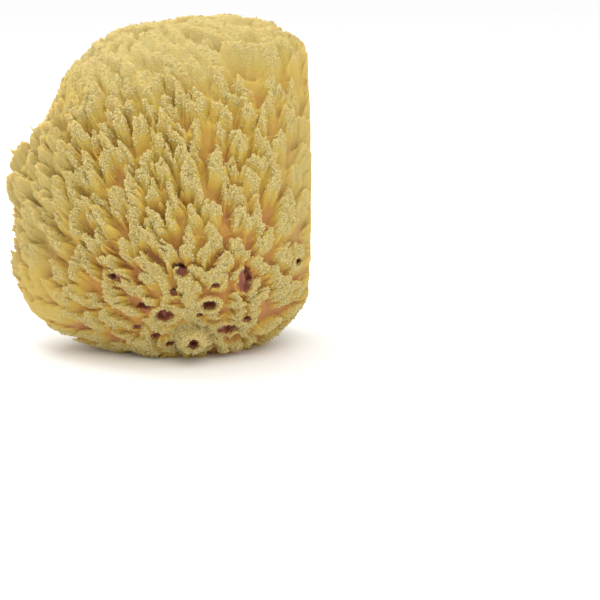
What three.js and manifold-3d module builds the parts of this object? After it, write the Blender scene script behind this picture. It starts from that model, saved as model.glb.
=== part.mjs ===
// A natural bath sponge: one rounded mass of tufts that sweep up and away from its foot.
// It is cut flat underneath, where it was taken off the rock, and trimmed flat on its right side.
// Millimetres, +Z up, -Y towards the viewer. The origin is the middle of the flat cut underneath.

import * as THREE from "three";
import { ConvexHull } from "three/addons/math/ConvexHull.js";
import { mergeVertices } from "three/addons/utils/BufferGeometryUtils.js";
import Module from "manifold-3d";

const wasm = await Module();
wasm.setup();

// The mass. Fibres run out from the middle, and the tufts are their ends.
const MIDDLE = new THREE.Vector3(-7.5, 0, 56);
const RADII = new THREE.Vector3(45, 43, 52.5);
const BULGES = [
  { name: "right side", towards: [1, 0, 0], height: 12, spread: 40 },
  { name: "upper right", towards: [0.76, 0, 0.65], height: 15, spread: 28 },
  { name: "left shoulder", towards: [-0.99, 0, -0.12], height: 6, spread: 18 },
  { name: "lower left", towards: [-0.66, 0, -0.75], height: 13, spread: 22 },
  { name: "lower right", towards: [0.7, 0, -0.7], height: 9.8, spread: 30 },
  { name: "foot", towards: [0.17, 0, -1], height: 10, spread: 30 },
  { name: "lower front", towards: [0.1, -0.8, -0.4], height: 2, spread: 30 },
];
const LUMP_HEIGHT = 1.6;
const LUMP_WAVES = [
  { along: [3.4, 0, 2], start: 1.3 },
  { along: [-2, 4.4, 0], start: 0.4 },
  { along: [0, 3, 5.8], start: 2.1 },
];

// The two cuts.
const SIDE_CUT_X = 40;
const BASE_CUT_Z = 0;
const TRIM_REACH = 150;

// The tufts. They are short round the pole, at the foot, and long everywhere else.
const POLE = new THREE.Vector3(0.28, -0.15, -0.95).normalize();
const POLE_CROWDING = 0.25;
const TUFT_COUNT = 600;
const TUFT_LENGTH = 13;
const POLE_TUFT_LENGTH = 5;
const SHORT_WITHIN = 30;
const LONG_BEYOND = 85;
const SHORTEST_TUFT = 0.62;
const CREST_HALF_LENGTH = 2;
const CREST_RISE = 0.1;
const CREST_TWIST = 90;
const JITTER = 0.34;

// How far the tufts lean from the pole, by their angle from it, in degrees.
const MOST_LEAN = 66;
const FULL_LEAN_AT = 40;
const LEAN_FADES = { from: 60, to: 140, by: 0.4 };
const UPRIGHT = { from: 140, to: 180 };
const LOWEST_SADDLE = 0.02;
const HIGHEST_SADDLE = 0.5;
const HOLLOW_DEPTH = 0.12;

// Over the crown the tufts are all long and grow together into low mounds. Degrees are from its middle.
const CROWN = { middle: [-0.02, 0.15, 1], within: 34, ends: 68, fill: 0.45, shortestTuft: 0.88 };

// Each chance about a tuft has its own number, so that no two of them go together.
const CHANCE = {
  shakeX: 1,
  shakeY: 2,
  shakeZ: 3,
  height: 4,
  saddle: 5,
  crestLength: 9,
  crestTwist: 11,
};

// The canals that open at the lower front: across and up are on the front, in millimetres. They run
// straight back to a depth behind the ground that the tufts stand on.
const CANALS = [
  { across: 1.2, up: 8.2, halfWidth: 2, halfHeight: 1.9, depth: 1 },
  { across: -8, up: 18.3, halfWidth: 3, halfHeight: 2, depth: 5 },
  { across: 6.2, up: 22, halfWidth: 2.4, halfHeight: 1.6, depth: 5 },
  { across: -23.2, up: 31.8, halfWidth: 2.4, halfHeight: 1.5, depth: 4 },
  { across: -2.5, up: 34.5, halfWidth: 2, halfHeight: 1.8, depth: 5 },
  { across: 17.8, up: 29.4, halfWidth: 2.4, halfHeight: 4.2, depth: 5 },
  { across: 12, up: 11.6, halfWidth: 3.2, halfHeight: 1.8, depth: 4 },
  { across: -14, up: 21.3, halfWidth: 2.2, halfHeight: 1.2, depth: 4 },
];
const CANAL_SIDES = 8;
const CHIMNEY = { across: 1.2, up: 8.2, radius: 5.4, stands: 8, root: 8 };
const CHIMNEY_SIDES = 12;
const RIM_ROUND = 1.6;
const SEARCH_STEPS = 30;

const FULL_TURN = 2 * Math.PI;
const GOLDEN_ANGLE = Math.PI * (3 - Math.sqrt(5));

// A fixed number from 0 to 1 for each tuft and chance: the tail of a large sine.
const DICE = { tuft: 12.9898, chance: 78.233, stretch: 43758.5453 };

function dice(n, chance) {
  const s = Math.sin(n * DICE.tuft + chance * DICE.chance) * DICE.stretch;
  return s - Math.floor(s);
}

// Low lumps all over, as a smooth wave from -1 to 1.
function lumps(d) {
  let sum = 0;
  for (const { along, start } of LUMP_WAVES)
    sum += Math.sin(d.dot(new THREE.Vector3(...along)) + start);
  return sum / LUMP_WAVES.length;
}

// How far the tuft tips stand from the middle, along the unit direction d.
function tipRadius(d) {
  let r = 1 / Math.hypot(d.x / RADII.x, d.y / RADII.y, d.z / RADII.z);
  for (const bulge of BULGES) {
    const angle = d.angleTo(new THREE.Vector3(...bulge.towards));
    const share = angle / THREE.MathUtils.degToRad(bulge.spread);
    r += bulge.height * Math.exp(-share * share);
  }
  return r + LUMP_HEIGHT * lumps(d);
}

// The angle from the pole to d, in degrees.
function poleAngle(d) {
  return THREE.MathUtils.radToDeg(d.angleTo(POLE));
}

// The way along the surface at d that leads straight away from the pole.
function awayFromPole(d) {
  return d.clone().multiplyScalar(POLE.dot(d)).sub(POLE).normalize();
}

// The way a tuft at d points: out from the middle, and leaning away from the pole.
function tuftDirection(d) {
  const angle = poleAngle(d);
  const { smoothstep, degToRad } = THREE.MathUtils;
  const grows = smoothstep(angle, 0, FULL_LEAN_AT);
  const fades = 1 - LEAN_FADES.by * smoothstep(angle, LEAN_FADES.from, LEAN_FADES.to);
  const ends = 1 - smoothstep(angle, UPRIGHT.from, UPRIGHT.to);
  const lean = degToRad(MOST_LEAN) * grows * fades * ends;
  return d
    .clone()
    .multiplyScalar(Math.cos(lean))
    .addScaledVector(awayFromPole(d), Math.sin(lean));
}

// The length of a full tuft at d.
function tuftLength(d) {
  const share = THREE.MathUtils.smoothstep(poleAngle(d), SHORT_WITHIN, LONG_BEYOND);
  return THREE.MathUtils.lerp(POLE_TUFT_LENGTH, TUFT_LENGTH, share);
}

// The surface that the tufts grow from, along d, with a share of a tuft's length added.
function surfacePoint(d, share) {
  const way = tuftDirection(d);
  const length = tuftLength(d);
  const root = tipRadius(d) - length * way.dot(d);
  return MIDDLE.clone()
    .addScaledVector(d, root)
    .addScaledVector(way, share * length);
}

// How much d belongs to the crown, from 0 to 1.
function crownShare(d) {
  const angle = THREE.MathUtils.radToDeg(d.angleTo(new THREE.Vector3(...CROWN.middle)));
  return 1 - THREE.MathUtils.smoothstep(angle, CROWN.within, CROWN.ends);
}

// A point in the valleys between tufts. They are filled up over the crown.
function valleyPoint(d, share) {
  return surfacePoint(d, share + CROWN.fill * crownShare(d));
}

// Directions of the tufts: a sunflower spiral about the pole, closer at the pole, then shaken.
function tuftDirections() {
  const toPole = new THREE.Quaternion().setFromUnitVectors(
    new THREE.Vector3(0, 0, 1),
    POLE,
  );
  const spacing = Math.sqrt((2 * FULL_TURN) / TUFT_COUNT);
  return Array.from({ length: TUFT_COUNT }, (_, n) => {
    const u = (n + 0.5) / TUFT_COUNT;
    const height = 1 - 2 * (u + POLE_CROWDING * (u * u - u));
    const ring = Math.sqrt(1 - height * height);
    const turn = n * GOLDEN_ANGLE;
    const d = new THREE.Vector3(
      ring * Math.cos(turn),
      ring * Math.sin(turn),
      height,
    );
    const shake = new THREE.Vector3(
      dice(n, CHANCE.shakeX),
      dice(n, CHANCE.shakeY),
      dice(n, CHANCE.shakeZ),
    );
    d.addScaledVector(shake.subScalar(0.5), 2 * JITTER * spacing);
    return d.normalize().applyQuaternion(toPole);
  });
}

// The two ends of tuft n's crest, and the way from one to the other. The end away from the pole is
// higher.
function crest(d, n) {
  const { lerp } = THREE.MathUtils;
  const twist = THREE.MathUtils.degToRad(CREST_TWIST) * (dice(n, CHANCE.crestTwist) - 0.5);
  const along = awayFromPole(d).applyAxisAngle(d, twist);
  const half = (CREST_HALF_LENGTH * (0.5 + dice(n, CHANCE.crestLength))) / tipRadius(d);
  const shortest = lerp(SHORTEST_TUFT, CROWN.shortestTuft, crownShare(d));
  const height = lerp(shortest, 1, dice(n, CHANCE.height));
  const ends = [1, -1].map((side) =>
    surfacePoint(
      d.clone().addScaledVector(along, side * half).normalize(),
      height * (1 + side * CREST_RISE),
    ),
  );
  return { along, ends };
}

// The points of a tuft's fan in order, anticlockwise as seen from outside, starting with the one that
// stands furthest to the left of the crest.
function ringFromLeft(fan, reach) {
  const after = new Map(fan);
  const ring = [fan[0][0]];
  while (ring.length < fan.length) ring.push(after.get(ring.at(-1)));
  const left = ring.indexOf(ring.reduce((a, b) => (reach(b) > reach(a) ? b : a)));
  return [...ring.slice(left), ...ring.slice(0, left)];
}

// The triangles of one tuft: its ring of saddles and hollows in two runs, each joined to one end of
// the crest.
function tuftTriangles(fan, points, root, across, [high, low]) {
  const reach = (point) => points[point].clone().sub(root).dot(across);
  const ring = ringFromLeft(fan, reach);
  const right = ring.indexOf(ring.reduce((a, b) => (reach(b) < reach(a) ? b : a)));
  const triangles = [high, ring[0], low, low, ring[right], high];
  ring.forEach((point, i) =>
    triangles.push(i < right ? low : high, point, ring[(i + 1) % ring.length]),
  );
  return triangles;
}

// The tufted mass as one closed mesh. Each tuft is a ridge among low saddles and hollows.
function tuftedMass() {
  const directions = tuftDirections();
  const order = new Map(directions.map((d, n) => [d, n]));
  const points = [];
  const fans = directions.map(() => []);
  const saddles = new Map();
  const between = (a, b) => {
    const key = Math.min(a, b) * TUFT_COUNT + Math.max(a, b);
    if (!saddles.has(key)) {
      const d = directions[a].clone().add(directions[b]).normalize();
      const rise = dice(key, CHANCE.saddle) ** 3;
      const share = THREE.MathUtils.lerp(LOWEST_SADDLE, HIGHEST_SADDLE, rise);
      saddles.set(key, points.push(valleyPoint(d, share)) - 1);
    }
    return saddles.get(key);
  };
  const hull = new ConvexHull().setFromPoints(directions);
  for (const face of hull.faces) {
    const start = face.edge;
    const ring = [start, start.next, start.next.next];
    const corners = ring.map((edge) => order.get(edge.head().point));
    const d = new THREE.Vector3();
    corners.forEach((n) => d.add(directions[n]));
    const hollow = points.push(valleyPoint(d.normalize(), -HOLLOW_DEPTH)) - 1;
    corners.forEach((n, i) => {
      const next = corners[(i + 1) % corners.length];
      const saddle = between(n, next);
      fans[n].push([saddle, hollow]);
      fans[next].push([hollow, saddle]);
    });
  }
  const triangles = directions.flatMap((d, n) => {
    const { along, ends } = crest(d, n);
    const tips = ends.map((end) => points.push(end) - 1);
    const across = d.clone().cross(along);
    return tuftTriangles(fans[n], points, surfacePoint(d, 0), across, tips);
  });
  return solid(points.flatMap((p) => p.toArray()), triangles);
}

// A solid from loose coordinates and triangle corners.
function solid(coordinates, triangles) {
  return new wasm.Manifold(
    new wasm.Mesh({
      numProp: 3,
      vertProperties: new Float32Array(coordinates),
      triVerts: new Uint32Array(triangles),
    }),
  );
}

// A solid from a three.js geometry.
function solidOf(geometry) {
  geometry.deleteAttribute("normal");
  geometry.deleteAttribute("uv");
  const merged = mergeVertices(geometry);
  return solid(merged.attributes.position.array, merged.index.array);
}

// The y at which the tufts' ground meets the line across, up on the front.
function frontGround(across, up) {
  let near = -2 * RADII.y;
  let far = 0;
  for (let step = 0; step < SEARCH_STEPS; step++) {
    const y = (near + far) / 2;
    const p = new THREE.Vector3(across, y, up).sub(MIDDLE);
    const ground = surfacePoint(p.clone().normalize(), 0).distanceTo(MIDDLE);
    if (p.length() > ground) near = y;
    else far = y;
  }
  return near;
}

// A canal: an oval hole that runs straight back from the front.
function canal({ across, up, halfWidth, halfHeight, depth }) {
  const back = frontGround(across, up) + depth;
  const length = back + 2 * RADII.y;
  const hole = new THREE.CylinderGeometry(1, 1, length, CANAL_SIDES);
  hole.scale(halfWidth, 1, halfHeight);
  hole.translate(across, back - length / 2, up);
  return solidOf(hole);
}

// The chimney: a thick round rim about the lowest canal, which stands out at the front.
function chimney({ across, up, radius, stands, root }) {
  const profile = new THREE.Path();
  profile.moveTo(0, -root);
  profile.lineTo(radius, -root);
  profile.lineTo(radius, stands - RIM_ROUND);
  profile.absarc(radius - RIM_ROUND, stands - RIM_ROUND, RIM_ROUND, 0, FULL_TURN / 4);
  profile.lineTo(0, stands);
  const rim = new THREE.LatheGeometry(profile.getPoints(2), CHIMNEY_SIDES);
  rim.rotateX(FULL_TURN / 2);
  rim.translate(across, frontGround(across, up), up);
  return solidOf(rim);
}

// The block that both cuts leave: everything above the base cut and left of the side cut.
function keptByCuts() {
  const block = new THREE.BoxGeometry(TRIM_REACH, TRIM_REACH, TRIM_REACH);
  block.translate(SIDE_CUT_X - TRIM_REACH / 2, 0, BASE_CUT_Z + TRIM_REACH / 2);
  return solidOf(block);
}

// Turns a solid back into a geometry for a mesh.
function geometryOf(made) {
  const { vertProperties, triVerts } = made.getMesh();
  const geometry = new THREE.BufferGeometry();
  geometry.setAttribute("position", new THREE.BufferAttribute(vertProperties, 3));
  geometry.setIndex(new THREE.BufferAttribute(triVerts, 1));
  geometry.computeVertexNormals();
  return geometry;
}

// The sponge itself: tufted mass and chimney, less the canals, within the cuts, without crumbs.
function spongeGeometry() {
  let made = tuftedMass().add(chimney(CHIMNEY));
  for (const each of CANALS) made = made.subtract(canal(each));
  const bodies = made.intersect(keptByCuts()).decompose();
  bodies.sort((a, b) => b.volume() - a.volume());
  return geometryOf(bodies[0]);
}

const strawYellow = new THREE.MeshStandardMaterial({
  color: new THREE.Color(0.83, 0.71, 0.38),
  roughness: 0.9,
  metalness: 0,
});

const sponge = new THREE.Mesh(spongeGeometry(), strawYellow);
sponge.name = "sponge";

const part = new THREE.Group();
part.add(sponge);

export default part;
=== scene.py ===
# %% [markdown]
# A sea sponge, dressed in Blender
#
# A natural bath sponge is one springy skeleton of fine fibres. From a step away it is a round mass of tufts
# that sweep up and away from its foot. The ends of the tufts are pale and grainy, their sides are smooth and
# golden, and the ground between them goes down through ochre to a red-brown. Low on the front, water canals
# open among low granular lips, and one of them ends in a short chimney. The sponge was cut off its rock, so
# it stands on a flat, and a second straight cut runs down its right side.
#
# Everything below is measured in millimetres, and turned into metres where Blender takes it over.

# %% Load the solid
import math
import time

import bpy
import numpy as np
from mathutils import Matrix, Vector


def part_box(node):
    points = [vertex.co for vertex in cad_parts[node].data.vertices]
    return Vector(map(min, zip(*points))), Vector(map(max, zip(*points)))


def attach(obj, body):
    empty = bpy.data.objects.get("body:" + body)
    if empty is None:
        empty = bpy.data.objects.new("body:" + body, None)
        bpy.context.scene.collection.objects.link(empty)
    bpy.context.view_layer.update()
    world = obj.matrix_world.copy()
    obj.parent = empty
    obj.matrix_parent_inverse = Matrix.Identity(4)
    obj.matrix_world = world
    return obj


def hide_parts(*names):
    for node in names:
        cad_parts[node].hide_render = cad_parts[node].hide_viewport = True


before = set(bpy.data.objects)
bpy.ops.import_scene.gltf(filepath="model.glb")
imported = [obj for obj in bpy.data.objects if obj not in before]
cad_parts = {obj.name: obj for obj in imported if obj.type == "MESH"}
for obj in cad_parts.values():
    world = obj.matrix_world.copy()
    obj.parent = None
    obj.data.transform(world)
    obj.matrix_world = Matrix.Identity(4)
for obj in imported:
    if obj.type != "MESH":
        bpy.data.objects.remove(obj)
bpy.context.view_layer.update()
started = time.perf_counter()
MM = 0.001
NODE = "sponge"
low_corner, high_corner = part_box(NODE)
print("solid from", [round(x / MM, 1) for x in low_corner], "to", [round(x / MM, 1) for x in high_corner])

# %% [markdown]
# The camera could stand level with the sponge, or look down on it. In the photograph the base shows as a
# shallow curve and its flat is hidden, so the eye is only about nine degrees above the middle. A long lens
# keeps the outline as flat as it is there. The sponge stands left of the picture's middle, so the camera is
# turned until the sponge's middle falls on its own place in the frame. Both angles come straight out of the
# triangle between the lens, the middle and that place.

# %% Camera
MIDDLE = np.array((-7.5, 0, 56))
LENS = 110
SENSOR = 36
EYE_DISTANCE = 614
EYE_HEIGHT = math.radians(9)
FRAME_SIZE = 600
MIDDLE_ACROSS = 164
MIDDLE_DOWN = 183


def aim_camera(eye):
    """Turns the camera so that MIDDLE falls on its place in the frame."""
    focal = LENS * FRAME_SIZE / SENSOR
    right = (MIDDLE_ACROSS - FRAME_SIZE / 2) / focal
    down = (MIDDLE_DOWN - FRAME_SIZE / 2) / focal
    reach = math.hypot(1, right, down)
    turn = math.asin(-right / (reach * math.cos(EYE_HEIGHT)))
    across = math.cos(EYE_HEIGHT) * math.cos(turn)
    up = math.sin(EYE_HEIGHT)
    tilt = math.asin(down / (reach * math.hypot(across, up))) - math.atan2(up, across)
    step_back = Vector((0, -math.cos(EYE_HEIGHT), math.sin(EYE_HEIGHT)))
    eye.location = (Vector(MIDDLE) + EYE_DISTANCE * step_back) * MM
    eye.rotation_euler = (math.pi / 2 + tilt, 0, -turn)
    return tilt, turn


bpy.ops.object.camera_add()
camera = bpy.context.object
camera.name = "camera"
camera.data.lens = LENS
camera.data.sensor_width = SENSOR
tilt, turn = aim_camera(camera)
bpy.context.scene.camera = camera
print("camera tilted", round(math.degrees(tilt), 2), "and turned", round(math.degrees(turn), 2), "degrees")

# %% [markdown]
# The photograph has no hard shadow anywhere: a large pale room lights the sponge from all sides, a little
# more from above. A single lamp would give the tufts black gaps. So the room itself is nearly white and gives
# most of the light, and two wide soft boxes model the tufts. The floor is plain and nearly white.

# %% Studio
ROOM_WHITE = 1.04
FLOOR_WHITE = (0.92, 0.92, 0.92, 1)
FLOOR_ROUGHNESS = 0.9
FLOOR_SIZE = 6000
TOP_LIGHT = {"place": (-250, 200, 750), "size": 500, "watts": 3.0}
FRONT_LIGHT = {"place": (150, -550, 700), "size": 600, "watts": 3.2}


def light_room():
    """A white room and the plain look that keeps its colours as they are."""
    bpy.context.scene.view_settings.view_transform = "Standard"
    room = bpy.data.worlds.new("room")
    room.use_nodes = True
    background = room.node_tree.nodes["Background"]
    background.inputs["Color"].default_value = (1, 1, 1, 1)
    background.inputs["Strength"].default_value = ROOM_WHITE
    bpy.context.scene.world = room


def soft_box(name, place, size, watts):
    """A square soft light that faces the sponge's middle."""
    bpy.ops.object.light_add(type="AREA", location=Vector(place) * MM)
    light = bpy.context.object
    light.name = name
    light.data.shape = "SQUARE"
    light.data.size = size * MM
    light.data.energy = watts
    light.rotation_euler = (Vector(MIDDLE) - Vector(place)).to_track_quat("-Z", "Y").to_euler()


def new_material(name):
    """A new material, with its nodes, what links them, and its shader."""
    material = bpy.data.materials.new(name)
    material.use_nodes = True
    nodes = material.node_tree.nodes
    return material, nodes, material.node_tree.links.new, nodes["Principled BSDF"]


def plain_floor():
    """A wide white floor at the height of the base."""
    bpy.ops.mesh.primitive_plane_add(size=FLOOR_SIZE * MM, location=(0, 0, 0))
    floor = bpy.context.object
    floor.name = "floor"
    paint, _, _, shader = new_material("floor_paint")
    shader.inputs["Base Color"].default_value = FLOOR_WHITE
    shader.inputs["Roughness"].default_value = FLOOR_ROUGHNESS
    floor.data.materials.append(paint)


light_room()
soft_box("top_light", **TOP_LIGHT)
soft_box("front_light", **FRONT_LIGHT)
plain_floor()
print("studio lit by two boxes of", TOP_LIGHT["watts"], "and", FRONT_LIGHT["watts"], "watts")

# %% [markdown]
# The form without its tufts is a tall round mass that bulges at the right, at the left shoulder, low on the
# left and at the foot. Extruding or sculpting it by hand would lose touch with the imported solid. So it is a
# radius for each direction d out of the middle: an ellipsoid, a few broad bulges and a gentle waviness, the
# same values that shape the solid.

# %% The mass under the tufts
RADII = np.array((45, 43, 52.5))
BULGES = (
    # towards, height, spread in degrees
    ((1, 0, 0), 12, 40),
    ((0.76, 0, 0.65), 15, 28),
    ((-0.99, 0, -0.12), 6, 18),
    ((-0.66, 0, -0.75), 13, 22),
    ((0.7, 0, -0.7), 9.8, 30),
    ((0.17, 0, -1), 10, 30),
    ((0.1, -0.8, -0.4), 2, 30),
)
LUMP_HEIGHT = 1.6
LUMP_WAVES = (((3.4, 0, 2), 1.3), ((-2, 4.4, 0), 0.4), ((0, 3, 5.8), 2.1))


def unit(rows):
    """Each row brought to a length of one."""
    return rows / np.linalg.norm(rows, axis=-1, keepdims=True)


def smooth_step(x, start, end):
    """0 before start, 1 after end, and a smooth rise between them."""
    passed = np.clip((x - start) / (end - start), 0, 1)
    return passed * passed * (3 - 2 * passed)


def between(low, high, share):
    """A value between two others, by a share from 0 to 1."""
    return low + (high - low) * share


def degrees_from(d, towards):
    """The angle between each direction d and one other."""
    return np.degrees(np.arccos(np.clip(d @ unit(np.array(towards, float)), -1, 1)))


def tip_radius(d):
    """How far the tips of the tufts reach in each direction d."""
    radius = 1 / np.linalg.norm(d / RADII, axis=1)
    for towards, height, spread in BULGES:
        radius = radius + height * np.exp(-((degrees_from(d, towards) / spread) ** 2))
    lumps = sum(np.sin(d @ np.array(along) + start) for along, start in LUMP_WAVES)
    return radius + LUMP_HEIGHT * lumps / len(LUMP_WAVES)


axes = np.vstack((np.eye(3), -np.eye(3)))
print("tips reach", tip_radius(axes).round(1), "mm along +X +Y +Z -X -Y -Z")

# %% [markdown]
# The tufts don't stand straight out. They grew towards the open water, away from the rock, and lie over one
# another like feathers. Bending each one would make them cut into each other. Instead the whole skin is
# sheared: from its root every point is moved along one smooth field of directions, which leans away from a
# pole at the underside. Neighbours lean alike, so no wall ever passes through another.

# %% Which way the tufts lean
POLE = unit(np.array((0.28, -0.15, -0.95)))
MOST_LEAN = math.radians(66)
FULL_LEAN_AT = 40
LEAN_FADES = (60, 140)
LEAN_FADES_BY = 0.4
UPRIGHT_AT = 180
TUFT_LENGTH = 13
POLE_TUFT_LENGTH = 5
SHORT_WITHIN = 30
LONG_BEYOND = 85
ALMOST_NOTHING = 1e-9


def pole_angle(d):
    """The angle between each direction d and the pole, in degrees."""
    return np.degrees(np.arccos(np.clip(d @ POLE, -1, 1)))


def away_from_pole(d):
    """The direction along the surface that leads straight away from the pole."""
    away = d * (d @ POLE)[:, None] - POLE
    return away / np.maximum(np.linalg.norm(away, axis=1, keepdims=True), ALMOST_NOTHING)


def tuft_way(d):
    """The direction in which a tuft at d grows."""
    angle = pole_angle(d)
    faded = 1 - LEAN_FADES_BY * smooth_step(angle, *LEAN_FADES)
    upright = 1 - smooth_step(angle, LEAN_FADES[1], UPRIGHT_AT)
    lean = (MOST_LEAN * smooth_step(angle, 0, FULL_LEAN_AT) * faded * upright)[:, None]
    return d * np.cos(lean) + away_from_pole(d) * np.sin(lean)


def grown_share(d):
    """0 near the pole, where tufts are short, and 1 where they are full grown."""
    return smooth_step(pole_angle(d), SHORT_WITHIN, LONG_BEYOND)


def tuft_length(d):
    return between(POLE_TUFT_LENGTH, TUFT_LENGTH, grown_share(d))


def root_radius(d):
    """How far from the middle the roots of the tufts lie."""
    return tip_radius(d) - tuft_length(d) * (tuft_way(d) * d).sum(1)


def skin_place(d, root, share):
    """The skin's points in mm, from the radius of each root and each height as a share of a tuft."""
    return MIDDLE + d * root[:, None] + tuft_way(d) * (share * tuft_length(d))[:, None]


print("tufts are", tuft_length(axes).round(1), "mm long along +X +Y +Z -X -Y -Z")

# %% [markdown]
# The tufts stand in no rows, yet evenly, because each needs room for water. Random places would clump and
# leave bald spots. A sunflower spiral over the sphere gives even room, and a shake takes the rows away.
# The dice are a formula of the tuft's number, the same as in the solid, so every tuft stands where its solid
# does.

# %% Where the tufts stand
TUFT_COUNT = 600
POLE_CROWDING = 0.25
SHAKE = 0.34
DICE = {"number": 12.9898, "chance": 78.233, "spread": 43758.5453}
CHANCE = {
    "shake": (1, 2, 3),
    "height": 4,
    "core_width": 6,
    "core_length": 9,
    "twist": 11,
    "along": 21,
    "across": 22,
    "size": 23,
    "finger_height": 24,
    "pointed": 25,
}


def dice(number, chance):
    """A fixed chance value from 0 to 1 for a number and a kind of chance."""
    wave = np.sin(number * DICE["number"] + chance * DICE["chance"]) * DICE["spread"]
    return wave - np.floor(wave)


def tuft_centres():
    """The directions of the tufts: a shaken sunflower spiral that starts at the pole, where it is closer."""
    number = np.arange(TUFT_COUNT)
    through = (number + 0.5) / TUFT_COUNT
    height = 1 - 2 * (through + POLE_CROWDING * (through * through - through))
    ring = np.sqrt(1 - height * height)
    turn = number * math.pi * (3 - math.sqrt(5))
    spacing = math.sqrt(4 * math.pi / TUFT_COUNT)
    shake = np.stack([dice(number, chance) for chance in CHANCE["shake"]], 1) - 0.5
    spiral = np.stack([ring * np.cos(turn), ring * np.sin(turn), height], 1)
    to_pole = Vector((0, 0, 1)).rotation_difference(Vector(POLE)).to_matrix()
    return unit(spiral + shake * 2 * SHAKE * spacing) @ np.array(to_pole).T


centres = tuft_centres()
print(len(centres), "tufts")

# %% [markdown]
# No two parts of the sponge look alike. On the crown the tufts are broad, soft and close together, and a
# little so at the two sides. Low on the left a rubbed patch is smooth and round. Painting these by hand would
# tie them to one mesh, so each is a share from 0 to 1 for every direction.

# %% How the regions differ
CROWN_TOWARDS = (-0.02, 0.15, 1)
CROWN_FADES = (34, 72)
LEFT_BAND = (0.55, 0.95)
RIGHT_BAND = (0.7, 0.92)
SIDE_SOFT = 0.25
RUBBED_TOWARDS = (-0.66, -0.2, -0.72)
RUBBED_FADES = (6, 15)
RUBBED_SOFT = 0.45


def crown_share(d):
    return 1 - smooth_step(degrees_from(d, CROWN_TOWARDS), *CROWN_FADES)


def side_share(d):
    """The soft pale bands at the left and at the right of the sponge."""
    return np.maximum(smooth_step(-d[:, 0], *LEFT_BAND), smooth_step(d[:, 0], *RIGHT_BAND))


def rubbed_share(d):
    return 1 - smooth_step(degrees_from(d, RUBBED_TOWARDS), *RUBBED_FADES)


def soft_share(d):
    """Where the tufts are broad and rounded: the crown, the sides and the rubbed patch."""
    return np.maximum.reduce([crown_share(d), SIDE_SOFT * side_share(d), RUBBED_SOFT * rubbed_share(d)])


crown_part = crown_share(centres).mean()
print("the crown takes", round(100 * crown_part), "percent of the tufts")

# %% [markdown]
# Between the tufts the ground rolls: low and bare near the foot, higher further up, and in soft mounds under
# the crown. A level ground would show as one flat colour in every gap. A texture could only pretend the
# rolls, and the light would not follow them, so they are waves of a few sizes added together, held between a
# lowest and a highest level by rounded limits.

# %% The ground between the tufts
GROUND = 0.28
LOW_GROUND = 0.02
HIGHEST_GROUND = 0.74
GROUND_WAVES = {"height": 0.15, "size": 11, "seed": 22}
GROUND_FOLDS = {"height": 0.035, "size": 3.5, "seed": 25}
GROUND_ROUNDING = 0.12
CROWN_GROUND = 0.36
CROWN_WAVES = {"height": 0.3, "size": 11, "seed": 24}
SIDE_GROUND = 0.1
RUBBED_GROUND = 0.1
RIPPLE_COUNT = 10
RIPPLE_SIZES = (0.7, 1.3)
RIPPLE_OVERLAP = 1.5


def ripples(points, size, seed):
    """A smooth chance field from about -1 to 1 whose bumps are about `size` mm apart."""
    chance = np.random.default_rng(seed)
    ways = unit(chance.normal(size=(RIPPLE_COUNT, 3))) * chance.uniform(*RIPPLE_SIZES, (RIPPLE_COUNT, 1))
    starts = chance.uniform(0, 2 * math.pi, RIPPLE_COUNT)
    waves = np.sin(points @ ways.T * (2 * math.pi / size) + starts)
    return waves.sum(1) / math.sqrt(RIPPLE_COUNT * RIPPLE_OVERLAP)


def rolling(places, height, size, seed):
    """Ripples of a height, which is a share of a tuft's length."""
    return height * ripples(places, size, seed)


def kept_above(level, lowest):
    """Keeps a level above a lowest one, with a rounded bend between them."""
    over = level - lowest
    return lowest + (over + np.hypot(over, GROUND_ROUNDING)) / 2


def ground_level(d, places):
    """The height of the ground between tufts, as a share of a tuft's length."""
    level = between(LOW_GROUND, GROUND, grown_share(d))
    level = level + rolling(places, **GROUND_WAVES)
    mounds = CROWN_GROUND + rolling(places, **CROWN_WAVES)
    level = level + mounds * crown_share(d) + SIDE_GROUND * side_share(d)
    level = level + rolling(places, **GROUND_FOLDS)
    level = -kept_above(-kept_above(level, 0), -HIGHEST_GROUND)
    return level + RUBBED_GROUND * rubbed_share(d)


levels = ground_level(centres, centres * tip_radius(centres)[:, None])
print("ground from", levels.min().round(2), "to", levels.max().round(2), "of a tuft")

# %% [markdown]
# Seen close, a tuft isn't a cone or a blade: it is a clump of small fingers that have grown together, with a
# ragged upper edge. Each clump could be a handful of separate spikes, but they would show seams where they
# join. Here each clump is a broad core and five small fingers, all flat-topped hills over the ground, and the
# highest hill counts, so they melt together into one skin. Some clumps have one sharper finger that stands
# past the rest. The places are pushed about by small waves first, which makes every outline ragged.

# %% Clumps of fingers
HILLS = 6
FINGER_REACH = 2.6
FINGER_SPREAD = 1.3
TUFT_HEIGHTS = (0.62, 1)
SOFT_HEIGHTS = (0.88, 1)
TWIST = math.radians(90)
TUFT_WITHIN = math.radians(14)
CORE = {"length": 1.7, "width": 0.7, "wall": 2.0, "sizes": (0.4, 1.6), "height": 0.96}
FINGER = {"length": 0.35, "width": 0.5, "wall": 1.2, "sizes": (0.5, 1.5), "heights": (0.8, 0.93)}
FINGER_STEP = 0.08
LOW_WALL = 0.8
GROWN_WALL = 1.4
POINT = {"along": 1.2, "width": 0.1, "wall": 1.1, "past": 1.12, "past_on_sides": 0.16}
POINTED = 0.45
POINTED_BELOW_SOFT = 0.6
SOFT_WIDER = 1.0
SOFT_WALL = 1.9
LOW_WIDER = 0.3
WALL_STARTS = -0.3
RAGGED = (
    # size of the waves, how far they push, a seed for each axis
    (6, 1.0, (1, 2, 3)),
    (2.1, 0.5, (4, 5, 6)),
)
RAGGED_LOST_IN_SOFT = 0.5


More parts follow.
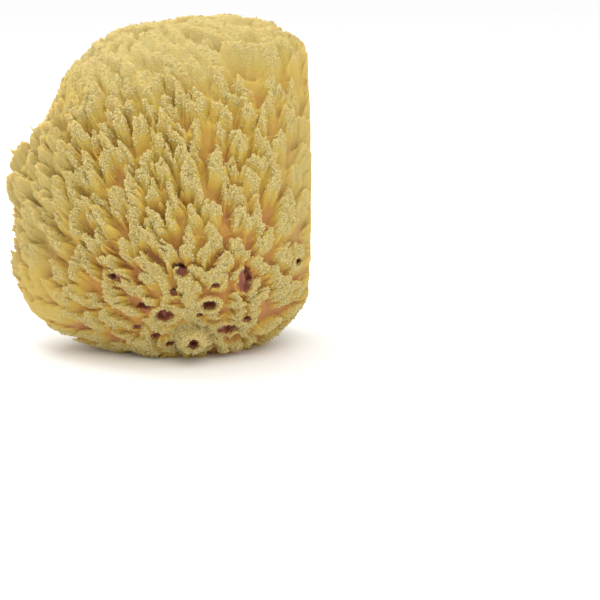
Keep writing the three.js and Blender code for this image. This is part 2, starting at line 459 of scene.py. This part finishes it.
def ragged_places(d, places):
    """Places on the mass in mm, pushed about so that outlines drawn on them come out ragged."""
    amount = (1 - RAGGED_LOST_IN_SOFT * soft_share(d))[:, None]
    for size, push, seeds in RAGGED:
        waves = np.stack([ripples(places, size, seed) for seed in seeds], 1)
        places = places + amount * push * waves
    return places


def finger_of(tuft, finger, tallest, wide, wall):
    """One small hill of a clump; those further from the pole stand higher."""
    number = tuft * HILLS + finger
    along = between(-1, 1, dice(number, CHANCE["along"]))
    across = between(-1, 1, dice(number, CHANCE["across"]))
    size = between(*FINGER["sizes"], dice(number, CHANCE["size"])) * wide
    height = between(*FINGER["heights"], dice(number, CHANCE["finger_height"])) + FINGER_STEP * along
    place = (FINGER_REACH * along * wide, FINGER_SPREAD * across * wide)
    return (*place, FINGER["length"] * size, FINGER["width"] * size, wall, tallest * height)


def clump(tuft, grown, soft, side):
    """The hills of one clump: place along and across, half length, half width, wall and height."""
    chance = dice(tuft, CHANCE["height"])
    tallest = between(between(*TUFT_HEIGHTS, chance), between(*SOFT_HEIGHTS, chance), soft)
    wide = 1 + SOFT_WIDER * soft + LOW_WIDER * (1 - grown)
    length = CORE["length"] * between(*CORE["sizes"], dice(tuft, CHANCE["core_length"])) * wide
    width = CORE["width"] * between(*CORE["sizes"], dice(tuft, CHANCE["core_width"])) * wide
    hills = [(0, 0, length, width, CORE["wall"] + SOFT_WALL * soft, CORE["height"] * tallest)]
    wall = FINGER["wall"] * between(LOW_WALL, GROWN_WALL, grown) + SOFT_WALL * soft
    hills += [finger_of(tuft, finger, tallest, wide, wall) for finger in range(1, HILLS)]
    if dice(tuft, CHANCE["pointed"]) < POINTED and soft < POINTED_BELOW_SOFT:
        past = POINT["past"] + POINT["past_on_sides"] * side
        hills.append((POINT["along"], 0, POINT["width"], POINT["width"], POINT["wall"], past * tallest))
    return hills


def clump_axes():
    """The long way and the wide way of every clump along the skin, twisted by chance."""
    away = away_from_pole(centres)
    twist = (TWIST * (dice(np.arange(TUFT_COUNT), CHANCE["twist"]) - 0.5))[:, None]
    long_way = away * np.cos(twist) + np.cross(centres, away) * np.sin(twist)
    return long_way, np.cross(centres, long_way)


def hill_nearness(along, across, middle, aside, half_length, half_width, wall):
    """1 on the flat top of a hill, falling to 0 over its wall."""
    beyond = np.maximum(np.abs(along - middle) - half_length, 0)
    gap = np.hypot(beyond, across - aside) - half_width
    return 1 - smooth_step(gap, WALL_STARTS, wall)


def tuft_field(d):
    """The skin's height as a share of a tuft's length, and how near each point is to a tuft's top."""
    places = d * tip_radius(d)[:, None]
    ragged = ragged_places(d, places)
    ground = ground_level(d, places)
    share = ground.copy()
    top = np.zeros(len(d))
    stands = centres * tip_radius(centres)[:, None]
    long_way, wide_way = clump_axes()
    regions = np.stack([grown_share(centres), soft_share(centres), side_share(centres)], 1)
    for tuft in range(TUFT_COUNT):
        near = np.where(d @ centres[tuft] > math.cos(TUFT_WITHIN))[0]
        offset = ragged[near] - stands[tuft]
        along = offset @ long_way[tuft]
        across = offset @ wide_way[tuft]
        for *hill, height in clump(tuft, *regions[tuft]):
            nearness = hill_nearness(along, across, *hill)
            rise = ground[near] + np.maximum(height - ground[near], 0) * nearness
            higher = rise > share[near]
            share[near] = np.where(higher, rise, share[near])
            top[near] = np.where(higher, nearness, top[near])
    return share, top


clumps = [clump(tuft, 1, 0, 0) for tuft in range(TUFT_COUNT)]
print(sum(len(hills) for hills in clumps), "hills in", len(clumps), "clumps")

# %% [markdown]
# Water leaves a sponge through canals. Their mouths lie low on the front, most of them plain holes with
# ragged edges, a few with a granular lip, and one on a short chimney. A Boolean cut would leave long thin
# faces round each mouth and sharp edges. Here the skin itself is pushed straight back from the front, and
# forward for the chimney, by less and less away from each mouth's middle, so the edges stay soft and closed.

# %% Canals and chimney
CANALS = (
    # across, up, half width, half height, depth, lip
    (1.2, 8.2, 2.0, 1.9, 7, 0),
    (-8, 18.3, 3.0, 2.0, 5, 1.0),
    (6.2, 22, 2.4, 1.6, 5, 2.5),
    (-23.2, 31.8, 2.4, 1.5, 4, 0),
    (-2.5, 34.5, 2.0, 1.8, 5, 0),
    (17.8, 29.4, 2.4, 4.2, 5, 0),
    (12, 11.6, 3.2, 1.8, 4, 0.8),
    (-14, 21.3, 2.2, 1.2, 4, 0),
    (3.2, 18.5, 1.1, 0.9, 3, 0),
    (-11.5, 9.5, 1.6, 1.0, 3, 0),
    (-6.5, 6.5, 1.5, 1.0, 3, 0),
    (8.2, 29, 1.5, 1.0, 4, 0),
    (-5, 27, 1.4, 1.0, 3, 0),
    (-17, 13, 1.6, 1.0, 3, 0),
    (18.5, 15, 1.5, 1.2, 3, 0),
    (35.6, 33, 0.9, 1.2, 4, 0),
)
CHIMNEY = {"across": 1.2, "up": 8.2, "radius": 5.4, "stands": 8}
CHIMNEY_EDGE = (0.55, 1.12)
CHIMNEY_RAGGED = 0.5
CANAL_EDGE = (0.7, 1.15)
CANAL_RAGGED = (
    # size of the waves, how far they push, seed
    (3.2, 0.12, 41),
    (1.5, 0.06, 42),
)
LIP_HEIGHT = 0.42
LIP_TOP = 0.9
LIP_WIDTH = 1.2
LIP_FADES = (1.0, 1.6)
LIP_GRAIN = {"height": 0.16, "size": 1.9, "seed": 31}
LIP_SWELLS_AT = 1.5
LIP_SWELLS_WITHIN = 0.5


def from_mouth(points, across, up, half_width, half_height):
    """The distance from a mouth's middle, 1 at its edge."""
    return np.hypot((points[:, 0] - across) / half_width, (points[:, 2] - up) / half_height)


def low_near_mouths(d, share, top):
    """The tufts give way to a low granular lip round the chimney and the lipped canals."""
    ground = skin_place(d, root_radius(d), LIP_HEIGHT)
    front = ground[:, 1] < 0
    lip = LIP_HEIGHT + rolling(d * RADII[0], **LIP_GRAIN)
    chimney = (CHIMNEY["across"], CHIMNEY["up"], CHIMNEY["radius"], CHIMNEY["radius"], 0, 1)
    for across, up, half_width, half_height, _, lipped in (chimney, *CANALS):
        if lipped:
            edge = from_mouth(ground, across, up, half_width + LIP_WIDTH, half_height + LIP_WIDTH)
            near = front * (1 - smooth_step(edge, *LIP_FADES))
            share = between(share, lip, near)
            top = between(top, LIP_TOP, near)
    return share, top


def open_canals(points, share, top):
    """Pushes the chimney out and the canals in, straight along Y."""
    front = points[:, 1] < 0
    wobble = sum(push * ripples(points, size, seed) for size, push, seed in CANAL_RAGGED)
    boss = from_mouth(points, CHIMNEY["across"], CHIMNEY["up"], CHIMNEY["radius"], CHIMNEY["radius"])
    push = -CHIMNEY["stands"] * (1 - smooth_step(boss + CHIMNEY_RAGGED * wobble, *CHIMNEY_EDGE)) * front
    for across, up, half_width, half_height, depth, lipped in CANALS:
        edge = from_mouth(points, across, up, half_width, half_height)
        swell = np.exp(-(((edge - LIP_SWELLS_AT) / LIP_SWELLS_WITHIN) ** 2))
        inside = (1 - smooth_step(edge + wobble, *CANAL_EDGE)) * front
        push = push + depth * inside - lipped * swell * front
        share = between(share, -1, inside)
        top = top * (1 - inside)
    moved = points.copy()
    moved[:, 1] += push
    return moved, share, top


print(len(CANALS), "canals,", sum(lipped > 0 for *_, lipped in CANALS), "of them with a lip")

# %% [markdown]
# Two straight cuts end the sponge: the base that it rests on and the flat on its right. A Boolean with a box
# would make each flat one large face that can take no pores. Here the skin stops at the cut instead: where
# a tuft would pass it, the tuft ends there, and where the ground itself would pass it, the ground does. The
# flats keep as many points as the rest, enough to press the pores of the cut skeleton into them.

# %% The cuts
SIDE_CUT = 40
BASE_CUT = 0
PORE_COUNT = 420
PORE_SEED = 420
PORE_DEPTH = 0.9
PORE_RADII = (0.5, 1.7)
PORE_EDGE = (0.4, 1.1)
PORE_FIELD = 70
ON_FLAT = 0.01
LEAST_LEAN = 1e-6


def stop_at(axis, limit, sign, d, root, share):
    """Shortens roots and tufts so that nothing passes a plane; sign is +1 for an upper limit."""
    room = sign * (limit - MIDDLE[axis])
    outward = sign * d[:, axis]
    root = np.where(outward * root > room, room / np.maximum(outward, LEAST_LEAN), root)
    lean = sign * tuft_way(d)[:, axis] * tuft_length(d)
    longest = (room - outward * root) / np.maximum(lean, LEAST_LEAN)
    return root, np.where(lean > LEAST_LEAN, np.minimum(share, longest), share)


def cut_place(d, share):
    """The skin's points in mm, stopped at the two cuts."""
    root, share = stop_at(0, SIDE_CUT, 1, d, root_radius(d), share)
    root, share = stop_at(2, BASE_CUT, -1, d, root, share)
    return skin_place(d, root, share)


def on_flats(points):
    """1 on the side cut and on the base, 0 elsewhere."""
    side = points[:, 0] > SIDE_CUT - ON_FLAT
    base = points[:, 2] < BASE_CUT + ON_FLAT
    return side.astype(float), base.astype(float)


def pores_on(across, up):
    """How deep in a pore each place of a flat is, from 0 to 1; most pores are small."""
    chance = np.random.default_rng(PORE_SEED)
    depth = np.zeros(len(across))
    for middle_across, middle_up, size in chance.uniform(0, 1, (PORE_COUNT, 3)):
        radius = between(*PORE_RADII, size**3)
        off_across = across - PORE_FIELD * (middle_across - 0.5)
        off_up = up - PORE_FIELD * (middle_up - 0.5)
        depth = np.maximum(depth, 1 - smooth_step(np.hypot(off_across, off_up) / radius, *PORE_EDGE))
    return depth


def press_pores(points, side, base):
    """Presses pores into both flats, never out of them."""
    side_pores = side * pores_on(points[:, 1], points[:, 2] - MIDDLE[2])
    base_pores = base * pores_on(points[:, 0], points[:, 1])
    moved = points.copy()
    moved[:, 0] -= PORE_DEPTH * side_pores
    moved[:, 2] += PORE_DEPTH * base_pores
    return moved, np.maximum(side_pores, base_pores)


print("cuts at x", SIDE_CUT, "and z", BASE_CUT, "with up to", PORE_COUNT, "pores each")

# %% [markdown]
# Now the skin is made. A round ball of small even triangles takes any shape without poles or seams, which a
# ball of rings and segments would show at the crown. Each of its points gets its place from the steps above,
# and keeps some numbers for the finish: its height, its nearness to a tuft's top, how thickly fibre ends
# stand there, whether it lies on a cut, how soft its region is, and which way its tuft leans. The ball has
# more triangles than MOST_TRIANGLES, so it is thinned at the end, mostly where it is flat.

# %% The skin
BALL_LEVELS = 8
MOST_TRIANGLES = 196000
TOP_GRAIN = {"height": 0.06, "size": 1.7, "seed": 21}
GRAIN_LOST_IN_SOFT = 0.7
SOFT_FADE = 0.16
# CROWN_TOP is painted light: it lifts the whole crown towards a tuft's top, so the crown comes out evenly
# pale, as if lit from above and through from behind.
CROWN_TOP = 0.74
SIDE_FADE = 0.2
SIDE_TOP = 0.6
RUBBED_FADE = 0.35
# RUBBED_SHADE is painted shade: it moves the rubbed patch down the colour ramp, darker, because the patch
# faces down and away from the light.
RUBBED_SHADE = 0.2
CLEAR_OF_CUT = (0.5, 2)
BY_THE_CUTS = 0.6
PEGS_FROM = 0.7
PEGS_TO = 0.92
SIDE_SHEDS = 0.6
CROWN_SHEDS = 0.82
FLAT_SHARE = 0.9
PORE_SHARE = 0.15


def new_ball(name):
    """A round ball of small even triangles, one metre in radius."""
    bpy.ops.object.select_all(action="DESELECT")
    bpy.ops.mesh.primitive_ico_sphere_add(subdivisions=BALL_LEVELS, radius=1)
    ball = bpy.context.object
    ball.name = name
    return ball


def read_points(mesh):
    """The points of a mesh, one row each."""
    flat = np.zeros(len(mesh.vertices) * 3)
    mesh.vertices.foreach_get("co", flat)
    return flat.reshape(-1, 3)


def keep_number(mesh, name, values):
    attribute = mesh.attributes.new(name, "FLOAT", "POINT")
    attribute.data.foreach_set("value", values.astype(np.float32))


def keep_direction(mesh, name, rows):
    attribute = mesh.attributes.new(name, "FLOAT_VECTOR", "POINT")
    attribute.data.foreach_set("vector", rows.astype(np.float32).ravel())


def finished_top(d, points, top):
    """Nearness to a tuft's top for the finish: even and pale on the crown as painted light from above and
    behind, faint at the sides and by the cuts.
    """
    side = side_share(d)
    # The crown is raised to an even pale: painted light.
    top = np.maximum(top * (1 - SOFT_FADE * soft_share(d)), CROWN_TOP * crown_share(d))
    top = np.maximum(top * (1 - SIDE_FADE * side), SIDE_TOP * side) * (1 - RUBBED_FADE * rubbed_share(d))
    over_base = smooth_step(points[:, 2] - BASE_CUT, *CLEAR_OF_CUT)
    inside_cut = smooth_step(SIDE_CUT - points[:, 0], *CLEAR_OF_CUT)
    return top * between(BY_THE_CUTS, 1, over_base * inside_cut)


def bristle(d, top):
    """How thickly fibre ends stand at each point: few on the crown and at the sides."""
    worn = np.maximum(CROWN_SHEDS * crown_share(d), SIDE_SHEDS * side_share(d))
    return smooth_step(top, PEGS_FROM, PEGS_TO) * (1 - worn)


def shape_skin(ball):
    """Puts every point of the ball in its place, and keeps its numbers for the finish."""
    d = unit(read_points(ball.data))
    share, top = tuft_field(d)
    grain = TOP_GRAIN["height"] * (1 - GRAIN_LOST_IN_SOFT * soft_share(d))
    share = share + grain * top * ripples(d * RADII[0], TOP_GRAIN["size"], TOP_GRAIN["seed"])
    share, top = low_near_mouths(d, share, top)
    points = cut_place(d, share)
    side, base = on_flats(points)
    flat = np.maximum(side, base)
    points, share, top = open_canals(points, share, top)
    points, pores = press_pores(points, side, base)
    ball.data.vertices.foreach_set("co", (points * MM).ravel())
    top = finished_top(d, points, top)
    # The rubbed patch is coloured as if it lay lower: painted shade.
    share = between(share - RUBBED_SHADE * rubbed_share(d), between(FLAT_SHARE, PORE_SHARE, pores), flat)
    keep_number(ball.data, "share", share)
    keep_number(ball.data, "top", top)
    keep_number(ball.data, "bristle", bristle(d, top))
    keep_number(ball.data, "flat", flat * (1 - pores))
    # The soft number also sets how much painted light the finish mixes in.
    keep_number(ball.data, "soft", np.maximum(soft_share(d), side_share(d)))
    keep_direction(ball.data, "way", tuft_way(d))
    ball.data.update()


def thin_out(piece, most):
    """Brings a mesh of triangles down to at most `most`."""
    count = len(piece.data.polygons)
    if count > most:
        thin = piece.modifiers.new("thin", "DECIMATE")
        thin.ratio = most / count
        bpy.ops.object.modifier_apply(modifier="thin")


skin = new_ball("sponge_skin")
shape_skin(skin)
thin_out(skin, MOST_TRIANGLES)
bpy.ops.object.shade_smooth()
print("skin of", len(skin.data.polygons), "triangles after", round(time.perf_counter() - started, 1), "s")

# %% [markdown]
# The fibres are one stuff all over: only their colour changes with depth, because deep fibres are darker and
# light runs through the thin ones. One coat of paint would look like clay, and an image would tie the look
# to one photograph. So the colour runs along the height that each point keeps: red-brown in the canals, ochre
# on the ground, gold up the sides, and pale straw at the tops, broken up by a fine grain. Some light passes
# under the surface, which keeps the gaps between tufts warm, and the grain also roughens the skin as a bump.

# %% Sponge fibre
DEEP_COLOURS = (
    # place along the height from -1 to 1 put on 0 to 1, colour
    (0.0, (0.44, 0.180, 0.120)),
    (0.35, (0.43, 0.170, 0.090)),
    (0.5, (0.44, 0.185, 0.065)),
    (0.6, (0.47, 0.240, 0.048)),
    (0.7, (0.49, 0.310, 0.045)),
    (0.8, (0.49, 0.345, 0.055)),
    (0.9, (0.49, 0.365, 0.085)),
)
PALE_COLOURS = ((0.32, (0.39, 0.27, 0.055)), (0.5, (0.46, 0.35, 0.10)), (0.68, (0.55, 0.45, 0.18)))
# SOFT_LIT_COLOUR and SOFT_MIX are painted light: on the crown, the sides and the rubbed patch the colour is
# drawn towards this even golden, which lifts the shade between tufts as light shining through the fibres
# would.
SOFT_LIT_COLOUR = (0.43, 0.345, 0.128)
SOFT_MIX = 0.55
PALE_FROM = 0.62
PALE_TO = 0.9
GRAIN_SCALE = 1500
GRAIN_DETAIL = 2
BUMP = {"Strength": 0.7, "Distance": 0.5 * MM}
FIBRE_LOOK = {
    "Roughness": 0.75,
    "Subsurface Weight": 0.7,
    "Subsurface Radius": (1.0, 0.6, 0.2),
    "Subsurface Scale": 3 * MM,
}


def colour_steps(nodes, stops):
    """A colour ramp node with the given places and colours."""
    node = nodes.new("ShaderNodeValToRGB")
    elements = node.color_ramp.elements
    while len(elements) < len(stops):
        elements.new(0.5)
    for element, (place, tint) in zip(elements, stops):
        element.position = place
        element.color = (*tint, 1)
    return node


def read_attribute(nodes, name):
    node = nodes.new("ShaderNodeAttribute")
    node.attribute_name = name
    return node.outputs["Fac"]


def rescaled(nodes, link, value, low, high, to_low=0.0, to_high=1.0):
    """A value from low to high put on to_low to to_high."""
    node = nodes.new("ShaderNodeMapRange")
    node.inputs["From Min"].default_value = low
    node.inputs["From Max"].default_value = high
    node.inputs["To Min"].default_value = to_low
    node.inputs["To Max"].default_value = to_high
    link(value, node.inputs["Value"])
    return node.outputs["Result"]


def mixed(nodes, link, amount, first, second):
    """A mix of two colours; the second may be a plain colour."""
    node = nodes.new("ShaderNodeMix")
    node.data_type = "RGBA"
    link(amount, node.inputs["Factor"])
    link(first, node.inputs["A"])
    if isinstance(second, tuple):
        node.inputs["B"].default_value = (*second, 1)
    else:
        link(second, node.inputs["B"])
    return node.outputs["Result"]


def greater(nodes, link, first, second):
    """The greater of two values."""
    node = nodes.new("ShaderNodeMath")
    node.operation = "MAXIMUM"
    link(first, node.inputs[0])
    link(second, node.inputs[1])
    return node.outputs["Value"]


def set_inputs(node, values):
    """Sets inputs of a node by their names."""
    for name, value in values.items():
        node.inputs[name].default_value = value


def softened(nodes, link, colour):
    """A colour drawn towards one even golden where the sponge is soft: painted light that shines through the
    fibres and evens out the shade between tufts.
    """
    softness = rescaled(nodes, link, read_attribute(nodes, "soft"), 0, 1, 0, SOFT_MIX)
    return mixed(nodes, link, softness, colour, SOFT_LIT_COLOUR)


def fibre_grain(nodes, link):
    """A fine grain that stays in its place on the sponge."""
    grain = nodes.new("ShaderNodeTexNoise")
    set_inputs(grain, {"Scale": GRAIN_SCALE, "Detail": GRAIN_DETAIL})
    place = nodes.new("ShaderNodeTexCoord")
    link(place.outputs["Object"], grain.inputs["Vector"])
    return grain.outputs["Fac"]


def fibre_colour(nodes, link, grain):
    """Coloured by depth, with pale grainy tops and flats, and one even golden of painted light mixed in where
    it is soft.
    """
    deep = colour_steps(nodes, DEEP_COLOURS)
    link(rescaled(nodes, link, read_attribute(nodes, "share"), -1, 1), deep.inputs["Fac"])
    pale = colour_steps(nodes, PALE_COLOURS)
    link(grain, pale.inputs["Fac"])
    top = rescaled(nodes, link, read_attribute(nodes, "top"), PALE_FROM, PALE_TO)
    top = greater(nodes, link, top, read_attribute(nodes, "flat"))
    return softened(nodes, link, mixed(nodes, link, top, deep.outputs["Color"], pale.outputs["Color"]))


def fibre_material():
    """The look of the fibres: their colour, their grain as a bump, and light that runs under the surface."""
    material, nodes, link, shader = new_material("golden_fibre")
    grain = fibre_grain(nodes, link)
    link(fibre_colour(nodes, link, grain), shader.inputs["Base Color"])
    bump = nodes.new("ShaderNodeBump")
    set_inputs(bump, BUMP)
    link(grain, bump.inputs["Height"])
    link(bump.outputs["Normal"], shader.inputs["Normal"])
    set_inputs(shader, FIBRE_LOOK)
    return material


def dress(piece, material):
    """Gives a piece its finish, and lets it ride and stand in for the solid."""
    piece.data.materials.clear()
    piece.data.materials.append(material)
    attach(piece, "root")
    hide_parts(NODE)


fibre = fibre_material()
dress(skin, fibre)
print("skin dressed in", fibre.name)

# %% [markdown]
# The tops of the tufts bristle with the ends of single fibres, most of them blunt beads about half a
# millimetre across, some of them thinner and longer spikes. They give the sponge its beady grain. They are
# far too many for the solid, and hair would not leave Blender. So small pegs are stood on the tops by
# Geometry Nodes, turned halfway between the way that the skin faces and the tufts' lean, and the copies are
# made real. Each peg is closed, pale at its end and darker at its foot.

# %% Fibre ends
PEG_SIDES = 3
PEG_SIZES = (0.6, 1.4)
PEG_COLOURS = ((0.0, (0.47, 0.36, 0.10)), (1.0, (0.60, 0.50, 0.22)))
PEG_ROUGHNESS = 0.7
BEAD = {"foot": 0.42, "end": 0.26, "height": 0.45}
SPIKE = {"foot": 0.3, "end": 0.14, "height": 1.3}
PEG_GROUPS = (
    # name, peg, seed, pegs per square metre
    ("beads_a", BEAD, 1, 0.7e6),
    ("beads_b", BEAD, 2, 0.7e6),
    ("spikes", SPIKE, 3, 0.2e6),
)


def new_peg(foot, end, height):
    """A closed blunt peg with a number that runs from 0 at its foot to 1 at its end."""
    bpy.ops.object.select_all(action="DESELECT")
    bpy.ops.mesh.primitive_cone_add(
        vertices=PEG_SIDES, radius1=foot * MM, radius2=end * MM, depth=height * MM
    )
    peg = bpy.context.object
    heights = read_points(peg.data)[:, 2]
    keep_number(peg.data, "tip", (heights > 0).astype(float))
    return peg


def named_value(nodes, name, kind):
    node = nodes.new("GeometryNodeInputNamedAttribute")
    node.data_type = kind
    node.inputs["Name"].default_value = name
    return node.outputs["Attribute"]


def leaning_rotation(nodes, link, normal):
    """Turns a peg half along the skin's normal and half along the lean."""
    blend = nodes.new("ShaderNodeVectorMath")
    blend.operation = "ADD"
    link(normal, blend.inputs[0])
    link(named_value(nodes, "way", "FLOAT_VECTOR"), blend.inputs[1])
    turn = nodes.new("FunctionNodeAlignRotationToVector")
    turn.axis = "Z"
    link(blend.outputs["Vector"], turn.inputs["Vector"])
    return turn.outputs["Rotation"]


def chance_size(nodes, seed):
    """A chance size for each peg; this node's number sockets share their names, so they go by place."""
    size = nodes.new("FunctionNodeRandomValue")
    size.data_type = "FLOAT"
    size.inputs[2].default_value = PEG_SIZES[0]
    size.inputs[3].default_value = PEG_SIZES[1]
    size.inputs["Seed"].default_value = seed
    return size.outputs[1]


def peg_nodes(peg, seed, per_area):
    """Geometry Nodes that stand pegs on the tops of the tufts and keep nothing else."""
    group = bpy.data.node_groups.new("stand_pegs", "GeometryNodeTree")
    group.interface.new_socket("Geometry", in_out="INPUT", socket_type="NodeSocketGeometry")
    group.interface.new_socket("Geometry", in_out="OUTPUT", socket_type="NodeSocketGeometry")
    nodes = group.nodes
    link = group.links.new
    start = nodes.new("NodeGroupInput")
    finish = nodes.new("NodeGroupOutput")
    amount = rescaled(nodes, link, named_value(nodes, "bristle", "FLOAT"), 0, 1, 0, per_area)
    spots = nodes.new("GeometryNodeDistributePointsOnFaces")
    spots.inputs["Seed"].default_value = seed
    link(start.outputs["Geometry"], spots.inputs["Mesh"])
    link(amount, spots.inputs["Density"])
    model = nodes.new("GeometryNodeObjectInfo")
    model.inputs["Object"].default_value = peg
    stand = nodes.new("GeometryNodeInstanceOnPoints")
    link(spots.outputs["Points"], stand.inputs["Points"])
    link(model.outputs["Geometry"], stand.inputs["Instance"])
    link(leaning_rotation(nodes, link, spots.outputs["Normal"]), stand.inputs["Rotation"])
    link(chance_size(nodes, seed), stand.inputs["Scale"])
    real = nodes.new("GeometryNodeRealizeInstances")
    link(stand.outputs["Instances"], real.inputs["Geometry"])
    link(real.outputs["Geometry"], finish.inputs["Geometry"])
    return group


def pegs_on(body, name, peg, seed, per_area):
    """Copies of a peg on the tops of a body, as a piece of their own."""
    piece = bpy.data.objects.new(name, body.data.copy())
    bpy.context.collection.objects.link(piece)
    bpy.ops.object.select_all(action="DESELECT")
    piece.select_set(True)
    bpy.context.view_layer.objects.active = piece
    stand = piece.modifiers.new("stand", "NODES")
    stand.node_group = peg_nodes(peg, seed, per_area)
    bpy.ops.object.modifier_apply(modifier="stand")
    return piece


def peg_material():
    """The look of the fibre ends: gold at a peg's foot and pale at its end."""
    material, nodes, link, shader = new_material("fibre_end")
    colour = colour_steps(nodes, PEG_COLOURS)
    link(read_attribute(nodes, "tip"), colour.inputs["Fac"])
    # The pegs take the same painted light where the sponge is soft.
    link(softened(nodes, link, colour.outputs["Color"]), shader.inputs["Base Color"])
    shader.inputs["Roughness"].default_value = PEG_ROUGHNESS
    return material


peg_finish = peg_material()
for name, form, seed, per_area in PEG_GROUPS:
    peg = new_peg(**form)
    pegs = pegs_on(skin, name, peg, seed, per_area)
    bpy.data.objects.remove(peg)
    dress(pegs, peg_finish)
    pegs.data.calc_loop_triangles()
    print(name, len(pegs.data.loop_triangles), "triangles")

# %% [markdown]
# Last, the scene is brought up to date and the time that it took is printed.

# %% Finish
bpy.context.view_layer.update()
print("made in", round(time.perf_counter() - started, 1), "s")
